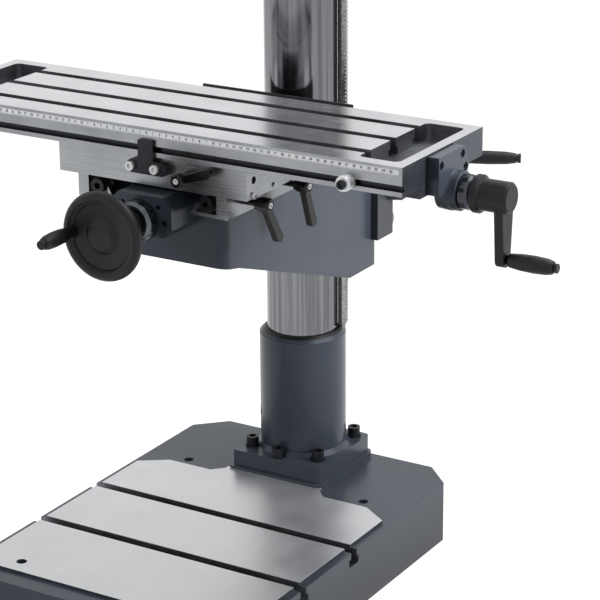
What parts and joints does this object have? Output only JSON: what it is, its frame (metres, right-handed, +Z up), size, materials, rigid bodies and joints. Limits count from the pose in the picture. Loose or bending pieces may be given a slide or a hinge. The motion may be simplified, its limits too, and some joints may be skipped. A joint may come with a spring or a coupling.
{
  "type": "geared pillar drill",
  "caption": "Floor-standing geared pillar drill with a rack-lifted arm and a compound cross table fed by screws on both axes.",
  "frame": {"origin": "column axis at the floor, on the underside of the base", "axes": "+Z up the column, +X to the operator's right along the table, +Y from the operator towards the column"},
  "size_m": [1.042, 0.8075, 1.8703],
  "materials": {
    "anthracite_paint": "semi-gloss paint on cast iron",
    "dark_paint": "semi-gloss dark paint",
    "ground_iron": "ground cast iron",
    "ground_steel": "ground and polished steel",
    "satin_chrome": "satin chrome",
    "black_oxide": "black oxide steel",
    "black_plastic": "glass-filled nylon",
    "bronze": "cast bronze",
    "clear_plastic": "clear polycarbonate",
    "green_plastic": "moulded push button",
    "red_plastic": "moulded push button"
  },
  "bodies": {
    "stand": {"base": "anthracite_paint", "column_socket": "anthracite_paint", "socket_bolts": "black_oxide", "column": "ground_steel", "rack_ring": "ground_steel", "head_casting": "anthracite_paint", "head_cover": "dark_paint", "head_clamp_screws": "black_oxide", "motor": "dark_paint", "motor_cowl": "black_plastic", "terminal_box": "dark_paint", "control_panel": "black_plastic", "guard_clamp": "dark_paint"},
    "quill_slide": {"quill": "ground_steel", "spindle_bearings": "ground_steel"},
    "spindle_rotor": {"spindle": "ground_steel"},
    "feed_capstan": {"feed_hub": "ground_steel", "feed_levers": "satin_chrome", "feed_knobs": "black_plastic"},
    "guard": {"chuck_guard": "clear_plastic"},
    "start": {"start_button": "green_plastic"},
    "stop": {"stop_button": "red_plastic"},
    "emergency": {"emergency_stop": "red_plastic"},
    "switch": {"main_switch": "black_plastic"},
    "gear_left": {"gear_lever_left": "black_plastic"},
    "gear_right": {"gear_lever_right": "black_plastic"},
    "rack_swivel": {"rack": "ground_steel"},
    "arm_carriage": {"arm": "anthracite_paint", "lift_gearbox": "dark_paint", "arm_clamp_bolt": "black_oxide", "y_bearing_block": "anthracite_paint", "way_guard": "black_oxide"},
    "pinion": {"lift_pinion": "ground_steel"},
    "crank": {"lift_crank": "black_oxide"},
    "crank_grip": {"lift_grip": "black_plastic"},
    "arm_lock": {"arm_lock_lever": "black_plastic"},
    "saddle_carriage": {"saddle": "ground_iron", "gib_strip": "ground_steel", "saddle_screws": "ground_steel", "stop_bracket": "black_oxide", "y_nut": "bronze", "x_nut": "bronze"},
    "lock_front": {"saddle_lock_front": "black_plastic"},
    "lock_rear": {"saddle_lock_rear": "black_plastic"},
    "lock_table": {"table_lock": "black_plastic"},
    "y_feed": {"y_screw": "ground_steel", "y_dial": "satin_chrome", "y_handwheel": "black_plastic"},
    "y_feed_grip": {"y_grip": "black_plastic"},
    "table_carriage": {"table": "ground_iron", "end_bracket_left": "anthracite_paint", "end_bracket_right": "anthracite_paint", "bracket_screws": "ground_steel", "table_stops": "ground_steel"},
    "x_feed": {"x_screw": "ground_steel", "x_dials": "black_oxide", "x_crank_left": "black_plastic", "x_crank_right": "black_plastic"},
    "x_feed_grip_left": {"x_grip_left": "black_plastic"},
    "x_feed_grip_right": {"x_grip_right": "black_plastic"}
  },
  "joints": [
    {"name": "arm_swing", "type": "hinge", "parent": "stand", "child": "rack_swivel", "pos_m": [0, 0, 0.6], "axis": [0, 0, 1], "range_deg": [-45, 45]},
    {"name": "arm_lift", "type": "slide", "parent": "rack_swivel", "child": "arm_carriage", "axis": [0, 0, 1], "range_m": [-0.07, 0.3]},
    {"name": "lift_pinion_turn", "type": "hinge", "parent": "arm_carriage", "child": "pinion", "pos_m": [0.06646, 0.02959, 0.47], "axis": [-0.4067, 0.9135, 0], "range_deg": [-2400, 800]},
    {"name": "lift_crank_turn", "type": "hinge", "parent": "arm_carriage", "child": "crank", "pos_m": [0.07265, 0.0827, 0.495], "axis": [0.9135, 0.4067, 0], "range_deg": [-9000, 27000]},
    {"name": "lift_grip_spin", "type": "hinge", "parent": "crank", "child": "crank_grip", "pos_m": [0.12342, 0.21452, 0.51621], "axis": [0.9135, 0.4067, 0], "continuous": true},
    {"name": "arm_lock_turn", "type": "hinge", "parent": "arm_carriage", "child": "arm_lock", "pos_m": [-0.03591, 0.09867, 0.5325], "axis": [0.9397, 0.342, 0], "range_deg": [-40, 40]},
    {"name": "saddle_travel", "type": "slide", "parent": "arm_carriage", "child": "saddle_carriage", "axis": [0, 1, 0], "range_m": [-0.0875, 0.0875]},
    {"name": "y_feed_turn", "type": "hinge", "parent": "arm_carriage", "child": "y_feed", "pos_m": [0, -0.4, 0.57], "axis": [0, 1, 0], "range_deg": [-6400, 6400]},
    {"name": "y_grip_spin", "type": "hinge", "parent": "y_feed", "child": "y_feed_grip", "pos_m": [-0.045, -0.5, 0.57], "axis": [0, 1, 0], "continuous": true},
    {"name": "lock_front_turn", "type": "hinge", "parent": "saddle_carriage", "child": "lock_front", "pos_m": [0.15, -0.335, 0.595], "axis": [1, 0, 0], "range_deg": [-35, 35]},
    {"name": "lock_rear_turn", "type": "hinge", "parent": "saddle_carriage", "child": "lock_rear", "pos_m": [0.15, -0.24, 0.595], "axis": [1, 0, 0], "range_deg": [-35, 35]},
    {"name": "lock_table_turn", "type": "hinge", "parent": "saddle_carriage", "child": "lock_table", "pos_m": [0.053, -0.38, 0.626], "axis": [0, 1, 0], "range_deg": [0, 20]},
    {"name": "table_travel", "type": "slide", "parent": "saddle_carriage", "child": "table_carriage", "axis": [1, 0, 0], "range_m": [-0.19, 0.215]},
    {"name": "x_feed_turn", "type": "hinge", "parent": "table_carriage", "child": "x_feed", "pos_m": [0, -0.272, 0.633], "axis": [1, 0, 0], "range_deg": [-17400, 17400]},
    {"name": "x_grip_left_spin", "type": "hinge", "parent": "x_feed", "child": "x_feed_grip_left", "pos_m": [-0.45, -0.272, 0.555], "axis": [1, 0, 0], "continuous": true},
    {"name": "x_grip_right_spin", "type": "hinge", "parent": "x_feed", "child": "x_feed_grip_right", "pos_m": [0.45, -0.272, 0.555], "axis": [1, 0, 0], "continuous": true},
    {"name": "quill_feed", "type": "slide", "parent": "stand", "child": "quill_slide", "axis": [0, 0, -1], "range_m": [0, 0.13], "stiffness_N_per_m": 400, "springref_m": -0.16},
    {"name": "capstan_turn", "type": "hinge", "parent": "stand", "child": "feed_capstan", "pos_m": [0.15, -0.2187, 1.336], "axis": [1, 0, 0], "range_deg": [-5, 420]},
    {"name": "spindle_spin", "type": "hinge", "parent": "quill_slide", "child": "spindle_rotor", "pos_m": [0, -0.272, 1.2], "axis": [0, 0, 1], "continuous": true},
    {"name": "guard_swing", "type": "hinge", "parent": "stand", "child": "guard", "pos_m": [-0.08, -0.272, 1.18], "axis": [0, 0, 1], "range_deg": [-110, 0]},
    {"name": "start_press", "type": "slide", "parent": "stand", "child": "start", "axis": [0, 1, 0], "range_m": [0, 0.002], "stiffness_N_per_m": 600, "springref_m": -0.003},
    {"name": "stop_press", "type": "slide", "parent": "stand", "child": "stop", "axis": [0, 1, 0], "range_m": [0, 0.002], "stiffness_N_per_m": 600, "springref_m": -0.003},
    {"name": "emergency_press", "type": "slide", "parent": "stand", "child": "emergency", "axis": [0, 1, 0], "range_m": [0, 0.004], "stiffness_N_per_m": 600, "springref_m": -0.003},
    {"name": "switch_turn", "type": "hinge", "parent": "stand", "child": "switch", "pos_m": [0.062, -0.41, 1.488], "axis": [0, 1, 0], "range_deg": [0, 90]},
    {"name": "gear_left_turn", "type": "hinge", "parent": "stand", "child": "gear_left", "pos_m": [-0.062, -0.4, 1.386], "axis": [0, 1, 0], "range_deg": [-35, 35]},
    {"name": "gear_right_turn", "type": "hinge", "parent": "stand", "child": "gear_right", "pos_m": [0.062, -0.4, 1.386], "axis": [0, 1, 0], "range_deg": [-35, 35]}
  ],
  "couplings": [
    {"joint": "lift_pinion_turn", "follows": "arm_lift", "rad_per_m": -114.29},
    {"joint": "lift_crank_turn", "follows": "arm_lift", "rad_per_m": 1142.9},
    {"joint": "y_feed_turn", "follows": "saddle_travel", "rad_per_m": 1256.6},
    {"joint": "x_feed_turn", "follows": "table_travel", "rad_per_m": 1256.6},
    {"joint": "capstan_turn", "follows": "quill_feed", "rad_per_m": 55.556}
  ]
}
